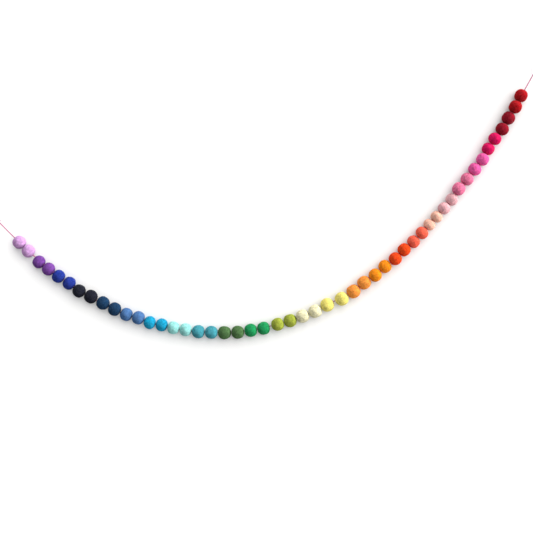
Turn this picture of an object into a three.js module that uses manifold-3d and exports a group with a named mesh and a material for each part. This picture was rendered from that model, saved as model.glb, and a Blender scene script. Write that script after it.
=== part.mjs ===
// Felt ball garland: fifty hand-rolled wool felt balls in twenty-five dyed pairs, strung on one pink thread.
// The thread is tied into a small hanging loop at each end, and the balls sit loosely side by side on it.
// Millimetres, +Z up. The garland hangs in the XZ plane, and +Y points into the wall behind it.
// The origin is the left-hand hanging point, the middle of the left loop's eye.

import * as THREE from "three";
import { mergeVertices } from "three/addons/utils/BufferGeometryUtils.js";
import Module from "manifold-3d";

const wasm = await Module();
wasm.setup();

// The hanging curve is a catenary. Places on it are measured along the thread from its lowest point.
const CURVE_RADIUS = 358;
const FIRST_BALL_AT = -348.6;

const THREAD = { diameter: 1.2, sides: 8, steps: 78, colour: 0xc03c80 };
const END_RUN = 42;
const KNOT = { diameter: 4.4, length: 4.6, sides: 10 };
const LOOP = { reach: 16, eyeRadius: 3.6, lean: 0.65, steps: 24 };
const TAIL = { length: 7, drop: 1.6 };

const NEEDLE_HOLE = { diameter: 2.4, sides: 8 };
const TOUCH_GAP = 0.3;
const BALL_DETAIL = 2;
const LUMPS = 0.018;
const SIDEWAYS = 0.7;

// One row for each dyed pair, from left to right, with a value for each of its two balls:
// along and across are the ball's sizes in line with the thread and square to it,
// gap is the bare thread that shows after the ball, beyond a touching fit,
// off is how far the ball's middle sits above the thread, because the needle rarely goes through the middle.
const PAIRS = [
  { dye: "lilac", colour: 0xb892c4, along: [19.8, 19.4], across: [20, 20], gap: [0, 4.2], off: [0, 0] },
  { dye: "violet", colour: 0x683a8a, along: [18.6, 19], across: [20, 20.2], gap: [0, 0], off: [-2, -1] },
  { dye: "royal", colour: 0x1e3088, along: [19.2, 19], across: [20.2, 20.4], gap: [0, 0], off: [-0.4, 0.6] },
  { dye: "ink", colour: 0x12141e, along: [19.8, 20.8], across: [20.4, 21], gap: [0, 0.8], off: [-0.8, 1] },
  { dye: "petrol", colour: 0x0e3456, along: [20.4, 20], across: [20.4, 20.6], gap: [0.1, 0.1], off: [1.2, 0.8] },
  { dye: "denim", colour: 0x426698, along: [19.2, 19.4], across: [20.4, 20.6], gap: [0.1, 0.1], off: [0.4, 2.2] },
  { dye: "cerulean", colour: 0x0c8cb2, along: [18.6, 18.6], across: [20, 20], gap: [0.1, 0.1], off: [0.5, 1.7] },
  { dye: "aqua", colour: 0x86c4c4, along: [18.8, 19.2], across: [19.8, 19.8], gap: [0.1, 0.1], off: [1.2, 1.2] },
  { dye: "lagoon", colour: 0x3a8ca0, along: [20.2, 20.2], across: [20.2, 20], gap: [0.1, 0], off: [0.2, 0.3] },
  { dye: "moss", colour: 0x44683a, along: [20.8, 20.2], across: [20.6, 20.2], gap: [0, 0], off: [-0.4, -1] },
  { dye: "emerald", colour: 0x12864a, along: [20, 20], across: [20.2, 20], gap: [0, 2.8], off: [-0.7, -1.2] },
  { dye: "lime", colour: 0x90a036, along: [20, 20.4], across: [20, 20.2], gap: [0, 0], off: [-0.1, -0.3] },
  { dye: "cream", colour: 0xd4cca6, along: [20.6, 20.8], across: [20.4, 20.4], gap: [0, 0], off: [-0.3, -0.8] },
  { dye: "lemon", colour: 0xe0d068, along: [21.2, 21.2], across: [20.8, 20.8], gap: [3, 0], off: [-0.1, -2.4] },
  { dye: "apricot", colour: 0xea883a, along: [21.6, 21.2], across: [21, 20.8], gap: [0, 0], off: [-2, 0.1] },
  { dye: "amber", colour: 0xe67e10, along: [20, 19.8], across: [20.2, 20], gap: [0, 0], off: [-0.6, 0.6] },
  { dye: "rust", colour: 0xda400e, along: [19.8, 19.8], across: [20, 20], gap: [0, 0], off: [-0.4, 0.9] },
  { dye: "coral", colour: 0xf0604a, along: [18.8, 18], across: [19.6, 19.6], gap: [0, 0], off: [-0.2, 0.2] },
  { dye: "peach", colour: 0xf2b09c, along: [16.4, 16.6], across: [18.8, 18.6], gap: [0.1, 0.1], off: [0.6, 0.6] },
  { dye: "mauve", colour: 0xe6a8b0, along: [18, 18.4], across: [19, 19], gap: [0, 0], off: [0.5, -0.1] },
  { dye: "rose", colour: 0xe4789c, along: [20.4, 19.4], across: [20, 19.6], gap: [0.1, 0], off: [1.8, 0.6] },
  { dye: "orchid", colour: 0xe258a2, along: [19.2, 19], across: [19.8, 19.6], gap: [0, 0], off: [0, -1] },
  { dye: "fuchsia", colour: 0xd40e5c, along: [18.6, 18.2], across: [19.6, 19.8], gap: [0, 0], off: [0.8, 0.8] },
  { dye: "wine", colour: 0x820826, along: [19.2, 20.2], across: [20, 20.2], gap: [0, 0], off: [-0.8, -0.2] },
  { dye: "scarlet", colour: 0xb00818, along: [20, 19.6], across: [20.2, 20], gap: [0, 0], off: [-0.4, 0.4] },
];

// The two balls of every pair as one list, each with its place along the thread.
function ballList() {
  const balls = [];
  let middle = FIRST_BALL_AT;
  let bare = 0;
  for (const pair of PAIRS) {
    for (const side of [0, 1]) {
      const along = pair.along[side];
      const before = balls.at(-1);
      if (before) middle += (before.along + along) / 2 + TOUCH_GAP + bare;
      bare = pair.gap[side];
      balls.push({ dye: pair.dye, colour: pair.colour, along, across: pair.across[side], off: pair.off[side], middle });
    }
  }
  return balls;
}

// The point, slope and direction of the catenary at a distance along it.
function onCurve(distance) {
  const reach = Math.hypot(CURVE_RADIUS, distance);
  return {
    point: new THREE.Vector3(CURVE_RADIUS * Math.asinh(distance / CURVE_RADIUS), 0, reach - CURVE_RADIUS),
    direction: new THREE.Vector3(CURVE_RADIUS / reach, 0, distance / reach),
    slope: Math.atan2(distance, CURVE_RADIUS),
  };
}

// The thread from knot to knot: the catenary under the balls, and a straight run to each knot.
class ThreadLine extends THREE.Curve {
  constructor(leftMouth, rightMouth) {
    super();
    this.leftMouth = leftMouth;
    this.rightMouth = rightMouth;
  }

  getPoint(t) {
    const start = this.leftMouth - END_RUN;
    const distance = start + t * (this.rightMouth + END_RUN - start);
    const held = THREE.MathUtils.clamp(distance, this.leftMouth, this.rightMouth);
    const { point, direction } = onCurve(held);
    return point.addScaledVector(direction, distance - held);
  }
}

// A regular outline for a thread, a needle hole or a knot.
function roundOutline(diameter, sides) {
  const corners = [];
  for (let i = 0; i < sides; i += 1) {
    const turn = (2 * Math.PI * i) / sides;
    corners.push(new THREE.Vector2((diameter / 2) * Math.cos(turn), (diameter / 2) * Math.sin(turn)));
  }
  return new THREE.Shape(corners);
}

function threadAlong(curve, steps) {
  const outline = roundOutline(THREAD.diameter, THREAD.sides);
  return new THREE.ExtrudeGeometry(outline, { extrudePath: curve, steps, bevelEnabled: false });
}

// A closed geometry as a solid for joining and cutting.
function solidOf(geometry) {
  const bare = geometry.clone();
  bare.deleteAttribute("normal");
  bare.deleteAttribute("uv");
  const merged = mergeVertices(bare, 1e-4);
  const triVerts = new Uint32Array(merged.index.array);
  return new wasm.Manifold(
    new wasm.Mesh({ numProp: 3, vertProperties: merged.attributes.position.array, triVerts }),
  );
}

function geometryOf(solid) {
  const { vertProperties, triVerts } = solid.getMesh();
  const geometry = new THREE.BufferGeometry();
  geometry.setAttribute("position", new THREE.BufferAttribute(vertProperties, 3));
  geometry.setIndex(new THREE.BufferAttribute(triVerts, 1));
  geometry.computeVertexNormals();
  return geometry;
}

// How far a ball's middle sits towards the wall from the thread: a little, and different from ball to ball.
function sideways(number) {
  return SIDEWAYS * Math.sin(2.4 * number);
}

// A felt ball about its own middle, with its thread along X: a slightly lumpy sphere with a needle hole.
// The lumps die out towards the two mouths of the hole, where neighbouring balls touch.
function feltBall(ball, number) {
  const lumpy = roundBall();
  const place = lumpy.attributes.position;
  const point = new THREE.Vector3();
  for (let i = 0; i < place.count; i += 1) {
    point.fromBufferAttribute(place, i).normalize();
    const broad = Math.sin(2.3 * point.x + 1.7 * number) * Math.sin(2.1 * point.y + 2.9 * number);
    const fine = 0.6 * Math.sin(4.1 * point.z + 3.7 * point.x + 1.3 * number);
    point.multiplyScalar(1 + LUMPS * (1 - point.x ** 2) * (broad + fine));
    place.setXYZ(i, (point.x * ball.along) / 2, (point.y * ball.across) / 2, (point.z * ball.across) / 2);
  }
  const { diameter, sides } = NEEDLE_HOLE;
  const hole = new THREE.CylinderGeometry(diameter / 2, diameter / 2, 2 * ball.along, sides);
  hole.rotateZ(Math.PI / 2).translate(0, -sideways(number), -ball.off);
  return geometryOf(solidOf(lumpy).subtract(solidOf(hole)));
}

function roundBall() {
  const ball = new THREE.IcosahedronGeometry(1, BALL_DETAIL);
  ball.deleteAttribute("normal");
  ball.deleteAttribute("uv");
  return mergeVertices(ball);
}

// The knot, hanging loop and cut tail at one end, drawn from the knot outwards along +X and up along +Z.
// The thread runs out of the knot, round the eye and back beside itself, and its tail comes out under the line.
function endLoop() {
  const eye = LOOP.reach - LOOP.eyeRadius;
  const beside = -1.1 * THREAD.diameter;
  const route = [new THREE.Vector3(0, 0, 0), new THREE.Vector3(eye / 4, 0, 0.2)];
  for (const degrees of [110, 70, 30, -10, -50, -90, -120]) {
    const turn = THREE.MathUtils.degToRad(degrees);
    route.push(
      new THREE.Vector3(eye + LOOP.eyeRadius * Math.cos(turn), 0, LOOP.eyeRadius * Math.sin(turn) - LOOP.lean),
    );
  }
  route.push(new THREE.Vector3(eye / 4, 0, beside - 0.2), new THREE.Vector3(0, 0, beside));
  route.push(new THREE.Vector3(-TAIL.length / 2, 0, beside - TAIL.drop / 4));
  route.push(new THREE.Vector3(-TAIL.length, 0, beside - TAIL.drop));
  const loop = threadAlong(new THREE.CatmullRomCurve3(route, false, "centripetal"), LOOP.steps);

  const width = KNOT.diameter / 2;
  const half = KNOT.length / 2;
  const profile = [
    new THREE.Vector2(0, -half),
    new THREE.Vector2(0.7 * width, -half),
    new THREE.Vector2(width, -0.5 * half),
    new THREE.Vector2(width, 0.5 * half),
    new THREE.Vector2(0.7 * width, half),
    new THREE.Vector2(0, half),
  ];
  const knot = new THREE.LatheGeometry(profile, KNOT.sides).rotateZ(-Math.PI / 2).translate(0, 0, beside / 2);
  return solidOf(loop).add(solidOf(knot));
}

// The whole thread as one solid: the line through the balls, and a knot with its loop and cut tail at each end.
function threadGeometry(line) {
  let thread = solidOf(threadAlong(line, THREAD.steps));
  for (const end of endPlaces(line)) {
    const place = new THREE.Matrix4().makeRotationY(-end.turn).setPosition(end.knot);
    const loop = geometryOf(endLoop()).applyMatrix4(place);
    thread = thread.add(solidOf(loop));
  }
  return geometryOf(thread);
}

// Where each knot sits, which way its loop points and where its eye's middle is, left end first.
function endPlaces(line) {
  return [0, 1].map((t) => {
    const knot = line.getPoint(t);
    const outward = line.getPoint(t).sub(line.getPoint(Math.abs(t - 0.001))).normalize();
    const turn = Math.atan2(outward.z, outward.x);
    const lean = new THREE.Vector3(Math.sin(turn), 0, -Math.cos(turn)).multiplyScalar(LOOP.lean);
    const eye = knot.clone().addScaledVector(outward, LOOP.reach - LOOP.eyeRadius).add(lean);
    return { knot, turn, eye };
  });
}

function felt(colour) {
  return new THREE.MeshStandardMaterial({ color: colour, roughness: 0.95, metalness: 0 });
}

const balls = ballList();
const first = balls.at(0);
const last = balls.at(-1);
const line = new ThreadLine(first.middle - first.along / 2, last.middle + last.along / 2);
const hangingPoint = endPlaces(line)[0].eye;

const garland = new THREE.Group();
garland.position.copy(hangingPoint).negate();

const thread = new THREE.Mesh(threadGeometry(line), felt(THREAD.colour));
thread.name = "thread";
garland.add(thread);

balls.forEach((ball, i) => {
  const mesh = new THREE.Mesh(feltBall(ball, i + 1), felt(ball.colour));
  mesh.name = `ball_${String(i + 1).padStart(2, "0")}_${ball.dye}`;
  const { point, slope } = onCurve(ball.middle);
  const above = new THREE.Vector3(-Math.sin(slope), 0, Math.cos(slope));
  mesh.position.copy(point).addScaledVector(above, ball.off);
  mesh.position.y = sideways(i + 1);
  mesh.rotation.y = -slope;
  garland.add(mesh);
});

const part = new THREE.Group();
part.add(garland);

export default part;
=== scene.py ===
"""Felt ball garland: the finished felt, fuzz and twisted thread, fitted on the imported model.

Metres, +Z up. The garland hangs in the XZ plane, and its back faces +Y.
"""

import math

import bmesh
import bpy
from mathutils import Euler, Matrix, Vector, noise


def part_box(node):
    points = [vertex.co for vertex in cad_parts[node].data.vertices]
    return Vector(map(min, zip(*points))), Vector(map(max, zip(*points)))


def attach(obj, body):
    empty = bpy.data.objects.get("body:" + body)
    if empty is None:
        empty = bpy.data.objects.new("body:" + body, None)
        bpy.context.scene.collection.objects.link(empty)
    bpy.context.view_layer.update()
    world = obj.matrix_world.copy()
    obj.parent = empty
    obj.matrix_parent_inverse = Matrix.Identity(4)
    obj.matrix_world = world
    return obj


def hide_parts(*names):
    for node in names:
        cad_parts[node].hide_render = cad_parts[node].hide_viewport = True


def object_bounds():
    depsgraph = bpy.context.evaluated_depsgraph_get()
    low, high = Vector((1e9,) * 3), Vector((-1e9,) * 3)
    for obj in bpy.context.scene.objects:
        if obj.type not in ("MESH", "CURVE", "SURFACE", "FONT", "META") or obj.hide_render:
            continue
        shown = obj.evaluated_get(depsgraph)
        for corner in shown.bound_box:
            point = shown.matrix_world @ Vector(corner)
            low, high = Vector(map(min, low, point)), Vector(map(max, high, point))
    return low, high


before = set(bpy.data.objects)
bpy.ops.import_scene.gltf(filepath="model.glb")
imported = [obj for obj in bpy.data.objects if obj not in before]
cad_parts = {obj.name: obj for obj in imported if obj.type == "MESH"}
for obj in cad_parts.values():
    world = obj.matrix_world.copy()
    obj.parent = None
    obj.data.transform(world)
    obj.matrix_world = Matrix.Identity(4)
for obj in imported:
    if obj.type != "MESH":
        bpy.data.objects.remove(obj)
cad_low, cad_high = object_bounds()

MM = 0.001

# The hanging curve and the thread, as the solids have them
CURVE_RADIUS = 358 * MM
LEFT_MOUTH = -358.5 * MM
RIGHT_MOUTH = 645.8 * MM
END_RUN = 42 * MM
THREAD_DIAMETER = 1.2 * MM
LOOP_REACH = 16 * MM
EYE_RADIUS = 3.6 * MM
LOOP_LEAN = 0.65 * MM
BESIDE = 1.1 * THREAD_DIAMETER
TAIL_LENGTH = 7 * MM
TAIL_DROP = 1.6 * MM

# The thread's three plies. Their middle and relief are shares of the thread's radius.
PLIES = 3
PLY_TURN = 4.2 * MM
PLY_MIDDLE = 1.1
PLY_RELIEF = 0.13
THREAD_STEP = 0.3 * MM
THREAD_SIDES = 12
LINE_SPANS = 16

# The knots, wound from the same thread. Their last turns are tucked in.
KNOT_WRAPS = 3.5
KNOT_LENGTH = 3.4 * MM
KNOT_STRAND = 1.05 * MM
KNOT_STEPS = 24
KNOT_TUCK = 0.35
TUCKED_END = 0.14

# A ball as it is first spun, before it takes its own size
SPUN_RADIUS = 10 * MM
HOLE_RADIUS = 0.86 * MM
MOUTH_ANGLE = math.radians(10.5)
MOUTH_DEPTH = 1.3 * MM
ROUND_STEPS = 64
ARC_STEPS = 30
HOLE_STEPS = 4

# A ball's skin: how far it stands proud of the solid, how full its outline is, where 2 is a plain ellipse,
# and the distances from the thread between which its lumps grow in
SKIN_PROUD = 0.13 * MM
FULLNESS = 2.2
LUMPS_FROM = 0.9 * MM
LUMPS_FULL = 3 * MM

# Lumps, dents and grain, as shares of the radius. Each dent or grain row says how fine it is and how deep.
CAD_LUMPS = 0.018
DENTS = ((1.9, 0.022), (4.2, 0.02))
GRAIN = ((9, 0.007), (21, 0.003))
CREASE_FINENESS = 1.7
CREASE_DEPTH = 0.022
CREASE_WIDTH = 0.09

# Fuzz on each ball. The fibres' sizes are shares of the full length.
FIBRES_PER_MM2 = 0.62
FIBRE_LENGTH = 1.5 * MM
FIBRE_WIDTH = 0.055 * MM
FIBRE_DROOP = 0.3
FIBRE_SIZES = (0.35, 1.25)
FIBRE_LEANS = (math.radians(35), math.radians(82))
SIZE_SEED = 5
LEAN_SEED = 3

# Patterns in the wool and the cotton: how many features a metre each noise has, then its detail, roughness
# and distortion
CLOUDS = (300, 3, 0.55, 0.8)
SWIRLS = (620, 4, 0.62, 1.3)
STRANDS = (1900, 3, 0.6, 2.2)
COTTON = (3200, 3, 0.6, 1.0)

# How dark or pale the felt's patterns are beside its dye
CLOUD_DARK = 0.6
CLOUD_PALE = 1.25
SWIRL_DARK = 0.54
FLECK_PALE = 0.08

# The camera looks straight at the garland's plane
PICTURE_WIDTH = 836.8 * MM
PICTURE_MIDDLE = (79.3 * MM, 103.7 * MM)
LENS = 60
SENSOR = 36

# The lights: what each one falls on, its degrees out from the garland's plane and up from the right,
# its softness in degrees, and its strength. The backdrop has a higher and softer light of its own,
# so that the shadows on it are short.
LIGHTS = [
    ("window", "garland", 20, 38, 22, 5),
    ("window_low", "garland", 20, -18, 30, 2.3),
    ("skylight", "garland", 20, 128, 40, 1.4),
    ("back_light", "garland", -70, 70, 90, 1.6),
    ("backdrop_light", "backdrop", 44, 48, 80, 4.0),
]
LAMP_COLOUR = (1, 0.985, 0.96)
ROOM_COLOUR = (0.93, 0.96, 1, 1)
ROOM_LIGHT = 0.47

# The backdrop and the floor, and their painted glow, which only the camera sees and which fades into a
# painted contact shadow where something stands closer than its reach
BACKDROP_GAP = 0.2 * MM
BACKDROP_HALF = 4
FLOOR_DROP = 2.4
SEEN_GREY = 0.64
BOUNCED_GREY = 0.42
PAINTED_GLOW = 0.3
PAINTED_GLOW_COLOUR = (1, 0.99, 0.985, 1)
PAINTED_SHADOW_REACH = 150 * MM

DYES = {
    "lilac": 0xC496CC,
    "violet": 0x703E92,
    "royal": 0x1C328E,
    "ink": 0x121524,
    "petrol": 0x0C3456,
    "denim": 0x466EA2,
    "cerulean": 0x0C96BE,
    "aqua": 0x92D6D2,
    "lagoon": 0x4298A6,
    "moss": 0x4A6E40,
    "emerald": 0x169052,
    "lime": 0x9CA83C,
    "cream": 0xE6E0B8,
    "lemon": 0xEEE076,
    "apricot": 0xF6963E,
    "amber": 0xF48C0C,
    "rust": 0xEA460C,
    "coral": 0xF6644C,
    "peach": 0xF6BCA6,
    "mauve": 0xEAB0B6,
    "rose": 0xE8769C,
    "orchid": 0xEC5CA4,
    "fuchsia": 0xDE085E,
    "wine": 0x920420,
    "scarlet": 0xB00412,
}
THREAD_PINK = 0xB81A70


def linear(hex_colour):
    """The linear colour of a written sRGB one."""
    parts = [(hex_colour >> shift & 255) / 255 for shift in (16, 8, 0)]
    return tuple(p / 12.92 if p <= 0.04045 else ((p + 0.055) / 1.055) ** 2.4 for p in parts)


# The hanging curve


def on_curve(distance):
    """The point and direction of the catenary at a distance along it from its lowest point."""
    reach = math.hypot(CURVE_RADIUS, distance)
    point = Vector((CURVE_RADIUS * math.asinh(distance / CURVE_RADIUS), 0, reach - CURVE_RADIUS))
    return point, Vector((CURVE_RADIUS / reach, 0, distance / reach))


def end_place(mouth, way):
    """The knot's middle, the outward direction and the turn of the loop at one end of the thread."""
    point, along = on_curve(mouth)
    outward = along * way
    return point + outward * END_RUN, outward, math.atan2(outward.z, outward.x)


def loop_place(end, right, up):
    """A point given along and above the line that leaves the knot at one end."""
    knot, outward, turn = end
    above = Vector((-math.sin(turn), 0, math.cos(turn)))
    return knot + outward * right + above * up


LEFT_END = end_place(LEFT_MOUTH, -1)
RIGHT_END = end_place(RIGHT_MOUTH, 1)
HANGING_POINT = loop_place(LEFT_END, LOOP_REACH - EYE_RADIUS, -LOOP_LEAN)


def loop_points(end):
    """The loop's own points, from the knot round the eye and back through the knot to the cut tail."""
    eye = LOOP_REACH - EYE_RADIUS
    places = [(eye / 4, 0.2 * MM)]
    for degrees in (110, 70, 30, -10, -50, -90, -120):
        turn = math.radians(degrees)
        places.append((eye + EYE_RADIUS * math.cos(turn), EYE_RADIUS * math.sin(turn) - LOOP_LEAN))
    places += [(eye / 4, -BESIDE - 0.2 * MM), (0, -BESIDE)]
    places += [(-TAIL_LENGTH / 2, -BESIDE - TAIL_DROP / 4), (-TAIL_LENGTH, -BESIDE - TAIL_DROP)]
    return [loop_place(end, right, up) for right, up in places]


def line_points():
    """Points down the catenary from knot to knot."""
    row = RIGHT_MOUTH - LEFT_MOUTH
    spaced = [LEFT_MOUTH + row * i / LINE_SPANS for i in range(LINE_SPANS + 1)]
    return [LEFT_END[0], *(on_curve(s)[0] for s in spaced), RIGHT_END[0]]


def smooth_route(points, step):
    """An even run of points on the centripetal spline through the given ones."""
    whole = [2 * points[0] - points[1], *points, 2 * points[-1] - points[-2]]
    fine = []
    for a, b, c, d in zip(whole, whole[1:], whole[2:], whole[3:]):
        t1 = math.sqrt((b - a).length)
        t2 = t1 + math.sqrt((c - b).length)
        t3 = t2 + math.sqrt((d - c).length)
        parts = max(4, math.ceil((c - b).length / step) * 2)
        for i in range(parts):
            t = t1 + (t2 - t1) * i / parts
            ab = a * ((t1 - t) / t1) + b * (t / t1)
            bc = b * ((t2 - t) / (t2 - t1)) + c * ((t - t1) / (t2 - t1))
            cd = c * ((t3 - t) / (t3 - t2)) + d * ((t - t2) / (t3 - t2))
            abc = ab * ((t2 - t) / t2) + bc * (t / t2)
            bcd = bc * ((t3 - t) / (t3 - t1)) + cd * ((t - t1) / (t3 - t1))
            fine.append(abc * ((t2 - t) / (t2 - t1)) + bcd * ((t - t1) / (t2 - t1)))
    fine.append(points[-1])
    lengths = [0.0]
    for a, b in zip(fine, fine[1:]):
        lengths.append(lengths[-1] + (b - a).length)
    count = round(lengths[-1] / step)
    even, at = [], 0
    for i in range(count + 1):
        wanted = lengths[-1] * i / count
        while at < len(lengths) - 2 and lengths[at + 1] < wanted:
            at += 1
        share = (wanted - lengths[at]) / (lengths[at + 1] - lengths[at])
        even.append(fine[at].lerp(fine[at + 1], min(share, 1)))
    return even, lengths[-1]


# Building


def finish_piece(name, shape, material):
    """A named object at the origin from a bmesh, smooth shaded, in its material and riding on the garland."""
    bmesh.ops.recalc_face_normals(shape, faces=shape.faces)
    mesh = bpy.data.meshes.new(name)
    shape.to_mesh(mesh)
    shape.free()
    mesh.shade_smooth()
    return finish_mesh(name, mesh, material)


def finish_mesh(name, mesh, material):
    mesh.materials.clear()
    mesh.materials.append(material)
    piece = bpy.data.objects.new(name, mesh)
    bpy.context.scene.collection.objects.link(piece)
    lit["garland"].objects.link(piece)
    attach(piece, "root")
    return piece


def evaluated_mesh(drawn):
    """The mesh that a curve or a modifier gives."""
    return bpy.data.meshes.new_from_object(drawn.evaluated_get(bpy.context.evaluated_depsgraph_get()))


def twisted_tube(route, radius):
    """A closed tube along a flat route. Its corners wind round it, and every lobe of them is a ply."""
    shape = bmesh.new()
    last = len(route) - 1
    bmesh.ops.create_grid(shape, x_segments=last, y_segments=THREAD_SIDES, size=1)
    across = Vector((0, 1, 0))
    for vert in shape.verts:
        i = round((vert.co.x + 1) / 2 * last)
        corner = math.tau * (vert.co.y + 1) / 2
        out = radius * (PLY_MIDDLE + PLY_RELIEF * math.cos(PLIES * corner))
        along = (route[min(i + 1, last)] - route[max(i - 1, 0)]).normalized()
        turn = corner + math.tau * i * THREAD_STEP / PLY_TURN
        sideways = across * (out * math.cos(turn))
        vert.co = route[i] + sideways + along.cross(across) * (out * math.sin(turn))
    bmesh.ops.remove_doubles(shape, verts=shape.verts, dist=radius / 200)
    ends = [edge for edge in shape.edges if edge.is_boundary]
    bmesh.ops.holes_fill(shape, edges=ends, sides=0)
    return shape


def twisted_thread(material):
    points = [*reversed(loop_points(LEFT_END)), *line_points(), *loop_points(RIGHT_END)]
    route, length = smooth_route([p - HANGING_POINT for p in points], THREAD_STEP)
    shape = twisted_tube(route, THREAD_DIAMETER / 2)
    piece = finish_piece("garland_thread", shape, material)
    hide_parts("thread")
    return piece, route, length


def knot(name, end, material):
    """The wraps of a knot, wound round the line and the strand that comes back beside it."""
    count = round(KNOT_WRAPS * KNOT_STEPS)
    half_wide = THREAD_DIAMETER / 2 + KNOT_STRAND / 2
    half_high = half_wide + BESIDE / 2
    route = []
    for i in range(count + 1):
        share = i / count
        angle = math.tau * KNOT_WRAPS * share
        tuck = 1 - KNOT_TUCK * max(0.0, abs(2 * share - 1) - (1 - TUCKED_END)) / TUCKED_END
        along = (share - 0.5) * KNOT_LENGTH
        centre = loop_place(end, along, -BESIDE / 2 + half_high * tuck * math.cos(angle))
        route.append(centre + Vector((0, half_wide * tuck * math.sin(angle), 0)) - HANGING_POINT)
    curve = bpy.data.curves.new(name, "CURVE")
    curve.dimensions = "3D"
    curve.bevel_depth = KNOT_STRAND / 2
    curve.bevel_resolution = 3
    curve.use_fill_caps = True
    spline = curve.splines.new("POLY")
    spline.points.add(count)
    for point, place in zip(spline.points, route):
        point.co = (*place, 1)
    drawn = bpy.data.objects.new(name, curve)
    bpy.context.scene.collection.objects.link(drawn)
    mesh = evaluated_mesh(drawn)
    bpy.data.objects.remove(drawn)
    bpy.data.curves.remove(curve)
    shape = bmesh.new()
    shape.from_mesh(mesh)
    bpy.data.meshes.remove(mesh)
    bmesh.ops.remove_doubles(shape, verts=shape.verts, dist=KNOT_STRAND / 500)
    return finish_piece(name, shape, material)


def in_fixed_order(shape):
    """The same mesh with its faces sorted. Spin orders them anew each run, and the fuzz depends on it."""
    shape.verts.index_update()
    rings = []
    for face in shape.faces:
        ring = [vert.index for vert in face.verts]
        first = ring.index(min(ring))
        rings.append(ring[first:] + ring[:first])
    ordered = bmesh.new()
    verts = [ordered.verts.new(vert.co) for vert in shape.verts]
    for ring in sorted(rings):
        ordered.faces.new([verts[i] for i in ring])
    shape.free()
    return ordered


def spun_ball():
    """A ball of rolled felt about its middle, spun round X, with its needle hole and puckered mouths."""
    outline = []
    for i in range(ARC_STEPS + 1):
        angle = MOUTH_ANGLE + (math.pi - 2 * MOUTH_ANGLE) * i / ARC_STEPS
        outline.append((SPUN_RADIUS * math.cos(angle), SPUN_RADIUS * math.sin(angle)))
    lip = outline[0]
    pucker = [
        (lip[0] - 0.12 * MOUTH_DEPTH, lip[1] - 0.4 * MM),
        (lip[0] - 0.45 * MOUTH_DEPTH, HOLE_RADIUS + 0.18 * MM),
        (lip[0] - MOUTH_DEPTH, HOLE_RADIUS),
    ]
    inner = lip[0] - MOUTH_DEPTH
    hole = [(-inner + 2 * inner * i / HOLE_STEPS, HOLE_RADIUS) for i in range(1, HOLE_STEPS)]
    outline += [(-x, r) for x, r in pucker] + hole + pucker[::-1]
    shape = bmesh.new()
    verts = [shape.verts.new((x, 0, r)) for x, r in outline]
    edges = [shape.edges.new((a, b)) for a, b in zip(verts, [*verts[1:], verts[0]])]
    bmesh.ops.spin(
        shape,
        geom=[*verts, *edges],
        cent=(0, 0, 0),
        axis=(1, 0, 0),
        angle=math.tau,
        steps=ROUND_STEPS,
        use_merge=True,
    )
    bmesh.ops.remove_doubles(shape, verts=shape.verts, dist=0.001 * MM)
    bmesh.ops.recalc_face_normals(shape, faces=shape.faces)
    return in_fixed_order(shape)


def rolled_lumps(point, number):
    """How far a rolled ball stands out at a point, as a share of its radius."""
    unit = point.normalized()
    broad = math.sin(2.3 * unit.x + 1.7 * number) * math.sin(2.1 * unit.y + 2.9 * number)
    fine = 0.6 * math.sin(4.1 * unit.z + 3.7 * unit.x + 1.3 * number)
    lumps = CAD_LUMPS * (1 - unit.x**2) * (broad + fine)
    seed = Vector((7.3, 2.1, 5.9)) * number
    dents = sum(depth * noise.noise(unit * fineness + seed) for fineness, depth in DENTS)
    grain = sum(depth * noise.noise(unit * fineness + seed) for fineness, depth in GRAIN)
    fold = abs(noise.noise(unit * CREASE_FINENESS - seed)) / CREASE_WIDTH
    return lumps + dents + grain - CREASE_DEPTH * max(0.0, 1 - fold)


def pressed(point):
    """How much further out a point sits than on a plain ellipse, as a share of its radius."""
    unit = point.normalized()
    return (abs(unit.x) ** FULLNESS + math.hypot(unit.y, unit.z) ** FULLNESS) ** (-1 / FULLNESS) - 1


def smooth_share(value, low, high):
    share = min(max((value - low) / (high - low), 0), 1)
    return share * share * (3 - 2 * share)


def fitted_sizes(node, middle, along):
    """A solid ball's half lengths in line with the thread and square to it, fitted to all its points."""
    aa = ac = cc = ya = yc = 0.0
    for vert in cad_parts[node].data.vertices:
        out = vert.co - middle
        x = out.dot(along) ** 2
        r = out.length_squared - x
        aa, ac, cc, ya, yc = aa + x * x, ac + x * r, cc + r * r, ya + x, yc + r
    det = aa * cc - ac * ac
    return (det / (ya * cc - yc * ac)) ** 0.5, (det / (yc * aa - ya * ac)) ** 0.5


def thread_under(middle):
    """The thread's nearest point to a ball's middle, and its direction there."""
    place = middle + HANGING_POINT
    distance = CURVE_RADIUS * math.sinh(place.x / CURVE_RADIUS)
    for _ in range(4):
        point, along = on_curve(distance)
        distance += (place - point).dot(along)
    point, along = on_curve(distance)
    return point - HANGING_POINT, along


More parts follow.
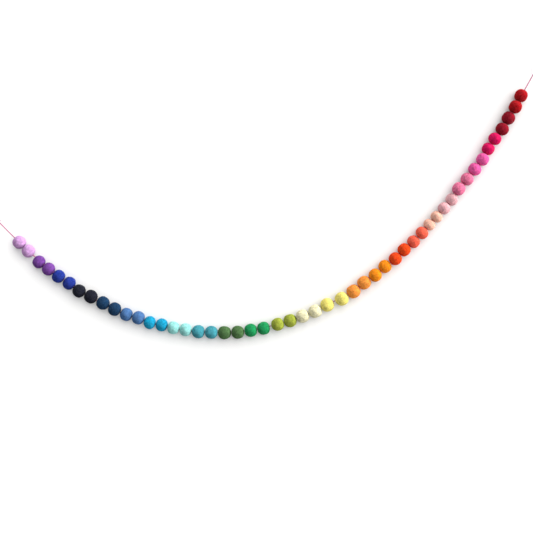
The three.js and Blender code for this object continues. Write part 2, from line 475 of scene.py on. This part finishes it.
def felt_ball(node, number, template, material):
    low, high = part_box(node)
    middle = (low + high) / 2
    point, along = thread_under(middle)
    half_along, half_across = fitted_sizes(node, middle, along)
    long, wide = (half_along + SKIN_PROUD) / SPUN_RADIUS, (half_across + SKIN_PROUD) / SPUN_RADIUS
    turn = Matrix((along, (0, 1, 0), along.cross(Vector((0, 1, 0))))).transposed()
    to_hole = turn.transposed() @ (point - middle)
    to_hole.x = 0
    shape = template.copy()
    for vert in shape.verts:
        co = vert.co
        ring = math.hypot(co.y, co.z)
        near = max(0.0, 1 - (ring / SPUN_RADIUS) ** 2)
        moved = Vector((0, co.y, co.z)) + to_hole * near**2
        if near > 1e-6:
            moved.x = co.x * math.sqrt(max(0.0, 1 - (moved.length / SPUN_RADIUS) ** 2) / near)
        skin = smooth_share(ring, LUMPS_FROM, LUMPS_FULL)
        moved *= 1 + skin * (pressed(moved) + rolled_lumps(moved, number)) if skin else 1
        sized = Vector((moved.x * long, moved.y * wide, moved.z * wide))
        vert.co = middle + turn @ sized
    piece = finish_piece(f"felt_{node}", shape, material)
    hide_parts(node)
    return piece


# Fuzz


def fibre():
    """One loose wool fibre that stands on its root: a thin, bent, three-sided spike."""
    shape = bmesh.new()
    bmesh.ops.create_cone(
        shape,
        segments=3,
        radius1=FIBRE_WIDTH / 2,
        radius2=0,
        depth=FIBRE_LENGTH,
        cap_ends=True,
        matrix=Matrix.Translation((0, 0, FIBRE_LENGTH / 2)),
    )
    bmesh.ops.remove_doubles(shape, verts=shape.verts, dist=FIBRE_WIDTH / 10)
    long_edges = [e for e in shape.edges if e.calc_length() > FIBRE_LENGTH / 2]
    bmesh.ops.subdivide_edges(shape, edges=long_edges, cuts=1)
    bmesh.ops.triangulate(shape, faces=shape.faces)
    for vert in shape.verts:
        share = vert.co.z / FIBRE_LENGTH
        vert.co.y -= FIBRE_DROOP * FIBRE_LENGTH * share**2
    bmesh.ops.recalc_face_normals(shape, faces=shape.faces)
    mesh = bpy.data.meshes.new("fibre")
    shape.to_mesh(mesh)
    shape.free()
    made = bpy.data.objects.new("fibre", mesh)
    bpy.context.scene.collection.objects.link(made)
    return made


def fuzz_tree(one_fibre):
    """Spreads fibres over a surface, most of them lying nearly flat, and gives them as one mesh."""
    tree = bpy.data.node_groups.new("fuzz", "GeometryNodeTree")
    tree.interface.new_socket(name="Geometry", in_out="INPUT", socket_type="NodeSocketGeometry")
    tree.interface.new_socket(name="Seed", in_out="INPUT", socket_type="NodeSocketInt")
    tree.interface.new_socket(name="Geometry", in_out="OUTPUT", socket_type="NodeSocketGeometry")
    add, link = tree.nodes.new, tree.links.new
    given, made = add("NodeGroupInput"), add("NodeGroupOutput")
    spread = add("GeometryNodeDistributePointsOnFaces")
    spread.inputs["Density"].default_value = FIBRES_PER_MM2 / MM**2
    source = add("GeometryNodeObjectInfo")
    source.inputs["Object"].default_value = one_fibre
    lean = add("FunctionNodeRandomValue")
    lean.data_type = "FLOAT_VECTOR"
    lean.inputs["Min"].default_value = (FIBRE_LEANS[0], 0, 0)
    lean.inputs["Max"].default_value = (FIBRE_LEANS[1], 0, math.tau)
    lean.inputs["Seed"].default_value = LEAN_SEED
    to_turn = add("FunctionNodeEulerToRotation")
    leaning = add("FunctionNodeRotateRotation")
    leaning.rotation_space = "LOCAL"
    size = add("FunctionNodeRandomValue")
    size.data_type = "FLOAT"
    size.inputs["Min"].default_value = FIBRE_SIZES[0]
    size.inputs["Max"].default_value = FIBRE_SIZES[1]
    size.inputs["Seed"].default_value = SIZE_SEED
    plant = add("GeometryNodeInstanceOnPoints")
    joined = add("GeometryNodeRealizeInstances")
    link(given.outputs["Geometry"], spread.inputs["Mesh"])
    link(given.outputs["Seed"], spread.inputs["Seed"])
    link(lean.outputs["Value"], to_turn.inputs["Euler"])
    link(spread.outputs["Rotation"], leaning.inputs["Rotation"])
    link(to_turn.outputs["Rotation"], leaning.inputs["Rotate By"])
    link(spread.outputs["Points"], plant.inputs["Points"])
    link(source.outputs["Geometry"], plant.inputs["Instance"])
    link(leaning.outputs["Rotation"], plant.inputs["Rotation"])
    link(next(s for s in size.outputs if s.type == "VALUE"), plant.inputs["Scale"])
    link(plant.outputs["Instances"], joined.inputs["Geometry"])
    link(joined.outputs["Geometry"], made.inputs["Geometry"])
    return tree


def fuzz(name, balls, seed, tree, material):
    """The loose fibres of a dyed pair, grown from the skins of both balls."""
    skins = bmesh.new()
    for ball in balls:
        skins.from_mesh(ball.data)
    mesh = bpy.data.meshes.new(name)
    skins.to_mesh(mesh)
    skins.free()
    grown = bpy.data.objects.new(name, mesh)
    bpy.context.scene.collection.objects.link(grown)
    modifier = grown.modifiers.new("fuzz", "NODES")
    modifier.node_group = tree
    modifier[tree.interface.items_tree["Seed"].identifier] = seed
    fibres = evaluated_mesh(grown)
    bpy.data.objects.remove(grown)
    fibres.shade_smooth()
    return finish_mesh(name, fibres, material)


# Materials


def new_material(name):
    material = bpy.data.materials.new(name)
    material.use_nodes = True
    tree = material.node_tree
    return material, tree, tree.nodes["Principled BSDF"]


def noise_node(tree, where, scale, detail, roughness, distortion):
    node = tree.nodes.new("ShaderNodeTexNoise")
    node.inputs["Scale"].default_value = scale
    node.inputs["Detail"].default_value = detail
    node.inputs["Roughness"].default_value = roughness
    node.inputs["Distortion"].default_value = distortion
    tree.links.new(where, node.inputs["Vector"])
    return node.outputs["Fac"]


def mixed(tree, kind, factor, first, second):
    """A mix node of colours or values. Each of its inputs is a number, a colour or a socket."""
    node = tree.nodes.new("ShaderNodeMix")
    node.data_type = kind
    socket_type, result = {"FLOAT": ("VALUE", 0), "RGBA": ("RGBA", 2)}[kind]
    sides = [socket for socket in node.inputs if socket.type == socket_type][-2:]
    for socket, value in zip([node.inputs[0], *sides], (factor, first, second)):
        if isinstance(value, bpy.types.NodeSocket):
            tree.links.new(value, socket)
        else:
            socket.default_value = value
    return node.outputs[result]


def spread_out(tree, value, low, high):
    node = tree.nodes.new("ShaderNodeMapRange")
    node.inputs["From Min"].default_value = low
    node.inputs["From Max"].default_value = high
    tree.links.new(value, node.inputs["Value"])
    return node.outputs["Result"]


def shaded(colour, by):
    return (*(c * by for c in colour), 1)


def lighter(colour, by):
    return (*(c + (1 - c) * by for c in colour), 1)


def felt(dye, colour):
    """Wool felt: cloudy, with swirls of darker and paler fibres, a matt skin and a bloom of fuzz."""
    material, tree, skin = new_material(f"felt_{dye}")
    place = tree.nodes.new("ShaderNodeTexCoord").outputs["Object"]
    cloud = spread_out(tree, noise_node(tree, place, *CLOUDS), 0.36, 0.64)
    swirl = spread_out(tree, noise_node(tree, place, *SWIRLS), 0.31, 0.69)
    strand = spread_out(tree, noise_node(tree, place, *STRANDS), 0.3, 0.7)
    body = mixed(tree, "RGBA", cloud, shaded(colour, CLOUD_DARK), shaded(colour, CLOUD_PALE))
    fibred = mixed(tree, "RGBA", swirl, shaded(colour, SWIRL_DARK), body)
    flecked = mixed(tree, "RGBA", spread_out(tree, strand, 0.55, 1.3), fibred, lighter(colour, FLECK_PALE))
    tree.links.new(flecked, skin.inputs["Base Color"])
    skin.inputs["Roughness"].default_value = 0.95
    skin.inputs["Specular IOR Level"].default_value = 0.05
    skin.inputs["Sheen Weight"].default_value = 0.16
    skin.inputs["Sheen Roughness"].default_value = 0.3
    skin.inputs["Sheen Tint"].default_value = lighter(colour, 0.3)
    height = mixed(tree, "FLOAT", 0.4, swirl, strand)
    bump = tree.nodes.new("ShaderNodeBump")
    bump.inputs["Strength"].default_value = 0.6
    bump.inputs["Distance"].default_value = 0.4 * MM
    tree.links.new(height, bump.inputs["Height"])
    tree.links.new(bump.outputs["Normal"], skin.inputs["Normal"])
    return material


def loose_wool(dye, colour):
    """Single fibres of the same dye, painted a little paler all over to stand in for light passing through
    them.
    """
    material, _, wool = new_material(f"fuzz_{dye}")
    # Painted light: the dye is lifted towards white for the light that passes through the fibres
    wool.inputs["Base Color"].default_value = lighter(colour, 0.04)
    wool.inputs["Roughness"].default_value = 0.8
    wool.inputs["Specular IOR Level"].default_value = 0.05
    return material


def twisted_cotton():
    """Three-ply cotton, with darker and paler fibres in it."""
    material, tree, yarn = new_material("thread_pink")
    colour = linear(THREAD_PINK)
    place = tree.nodes.new("ShaderNodeTexCoord").outputs["Object"]
    fibres = spread_out(tree, noise_node(tree, place, *COTTON), 0.3, 0.7)
    dyed = mixed(tree, "RGBA", fibres, shaded(colour, 0.75), lighter(colour, 0.03))
    tree.links.new(dyed, yarn.inputs["Base Color"])
    yarn.inputs["Roughness"].default_value = 0.7
    yarn.inputs["Sheen Weight"].default_value = 0.08
    yarn.inputs["Specular IOR Level"].default_value = 0.15
    bump = tree.nodes.new("ShaderNodeBump")
    bump.inputs["Strength"].default_value = 0.5
    bump.inputs["Distance"].default_value = 0.08 * MM
    tree.links.new(fibres, bump.inputs["Height"])
    tree.links.new(bump.outputs["Normal"], yarn.inputs["Normal"])
    return material


# The backdrop, the floor and the light


def stage_paint(name):
    """Pale matt paint with a painted glow that only the camera sees, fading into a painted contact shadow
    where something stands close. Only its front shows.
    """
    material, tree, paint = new_material(name)
    seen = tree.nodes.new("ShaderNodeLightPath").outputs["Is Camera Ray"]
    shade = mixed(tree, "RGBA", seen, shaded((BOUNCED_GREY,) * 3, 1), shaded((SEEN_GREY,) * 3, 1))
    tree.links.new(shade, paint.inputs["Base Color"])
    paint.inputs["Roughness"].default_value = 0.9
    paint.inputs["Specular IOR Level"].default_value = 0.1
    paint.inputs["Emission Color"].default_value = PAINTED_GLOW_COLOUR
    # Painted shadow: the camera-only glow dims where ambient occlusion finds something standing close
    painted_shadow_ao = tree.nodes.new("ShaderNodeAmbientOcclusion")
    painted_shadow_ao.inputs["Distance"].default_value = PAINTED_SHADOW_REACH
    painted_glow_and_shadow = mixed(tree, "FLOAT", painted_shadow_ao.outputs["AO"], 0.0, PAINTED_GLOW)
    tree.links.new(mixed(tree, "FLOAT", seen, 0.0, painted_glow_and_shadow), paint.inputs["Emission Strength"])
    clear = tree.nodes.new("ShaderNodeBsdfTransparent")
    sided = tree.nodes.new("ShaderNodeMixShader")
    behind = tree.nodes.new("ShaderNodeNewGeometry").outputs["Backfacing"]
    tree.links.new(behind, sided.inputs["Fac"])
    tree.links.new(paint.outputs[0], sided.inputs[1])
    tree.links.new(clear.outputs[0], sided.inputs[2])
    tree.links.new(sided.outputs[0], tree.nodes["Material Output"].inputs["Surface"])
    return material


def stage_plane(name, middle, turn, material):
    shape = bmesh.new()
    place = Matrix.Translation(middle) @ turn.to_matrix().to_4x4()
    bmesh.ops.create_grid(shape, x_segments=1, y_segments=1, size=BACKDROP_HALF, matrix=place)
    mesh = bpy.data.meshes.new(name)
    shape.to_mesh(mesh)
    shape.free()
    mesh.materials.append(material)
    plane = bpy.data.objects.new(name, mesh)
    bpy.context.scene.collection.objects.link(plane)
    lit["backdrop"].objects.link(plane)


def build_stage():
    back = cad_high.y + BACKDROP_GAP
    middle_x = (cad_low.x + cad_high.x) / 2
    upright, level = Euler((math.radians(90), 0, 0)), Euler((0, 0, 0))
    under = Vector((middle_x, back - BACKDROP_HALF, cad_low.z - FLOOR_DROP))
    stage_plane("wall", Vector((middle_x, back, 0)), upright, stage_paint("wall_paint"))
    stage_plane("floor", under, level, stage_paint("floor_paint"))


def build_camera():
    lens = bpy.data.cameras.new("camera")
    lens.lens = LENS
    lens.sensor_width = SENSOR
    camera = bpy.data.objects.new("camera", lens)
    bpy.context.scene.collection.objects.link(camera)
    right, up = PICTURE_MIDDLE
    away = PICTURE_WIDTH * LENS / SENSOR
    camera.location = Vector((right, -away, up)) - HANGING_POINT
    camera.rotation_euler = (math.radians(90), 0, 0)
    bpy.context.scene.camera = camera


def build_light():
    for name, receiver, out, up, softness, strength in LIGHTS:
        light = bpy.data.lights.new(name, "SUN")
        light.energy = strength
        light.angle = math.radians(softness)
        light.color = LAMP_COLOUR
        lamp = bpy.data.objects.new(name, light)
        lamp.light_linking.receiver_collection = lit[receiver]
        lamp.light_linking.blocker_collection = lit["garland"]
        out, up = math.radians(out), math.radians(up)
        towards = Vector((math.cos(out) * math.cos(up), -math.sin(out), math.cos(out) * math.sin(up)))
        lamp.rotation_euler = towards.to_track_quat("Z", "Y").to_euler()
        bpy.context.scene.collection.objects.link(lamp)
    world = bpy.data.worlds.new("room")
    bpy.context.scene.world = world
    world.use_nodes = True
    tree = world.node_tree
    tree.nodes.clear()
    room, seen = tree.nodes.new("ShaderNodeBackground"), tree.nodes.new("ShaderNodeBackground")
    room.inputs["Color"].default_value = ROOM_COLOUR
    room.inputs["Strength"].default_value = ROOM_LIGHT
    seen.inputs["Color"].default_value = (1, 1, 1, 1)
    seen.inputs["Strength"].default_value = 1
    path, mix = tree.nodes.new("ShaderNodeLightPath"), tree.nodes.new("ShaderNodeMixShader")
    tree.links.new(path.outputs["Is Camera Ray"], mix.inputs["Fac"])
    tree.links.new(room.outputs[0], mix.inputs[1])
    tree.links.new(seen.outputs[0], mix.inputs[2])
    tree.links.new(mix.outputs[0], tree.nodes.new("ShaderNodeOutputWorld").inputs["Surface"])
    bpy.context.scene.view_settings.view_transform = "Standard"


def build_thread():
    material = twisted_cotton()
    thread, route, length = twisted_thread(material)
    knots = [knot("left_knot", LEFT_END, material), knot("right_knot", RIGHT_END, material)]


def build_balls():
    template = spun_ball()
    one_fibre = fibre()
    tree = fuzz_tree(one_fibre)
    numbered = sorted(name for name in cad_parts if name.startswith("ball_"))
    for pair, (dye, colour) in enumerate(DYES.items()):
        skin, slot = felt(dye, linear(colour)), f"felt_{dye}"
        balls = []
        for node in numbered[2 * pair : 2 * pair + 2]:
            number = int(node.split("_")[1])
            balls.append(felt_ball(node, number, template, skin))
        fuzz(f"fuzz_{dye}", balls, pair, tree, loose_wool(dye, linear(colour)))
    template.free()
    bpy.data.objects.remove(one_fibre)


# What the lights fall on: the pieces, and what stands behind and under them
lit = {name: bpy.data.collections.new(name) for name in ("garland", "backdrop")}

build_camera()
build_thread()
build_balls()
build_stage()
build_light()
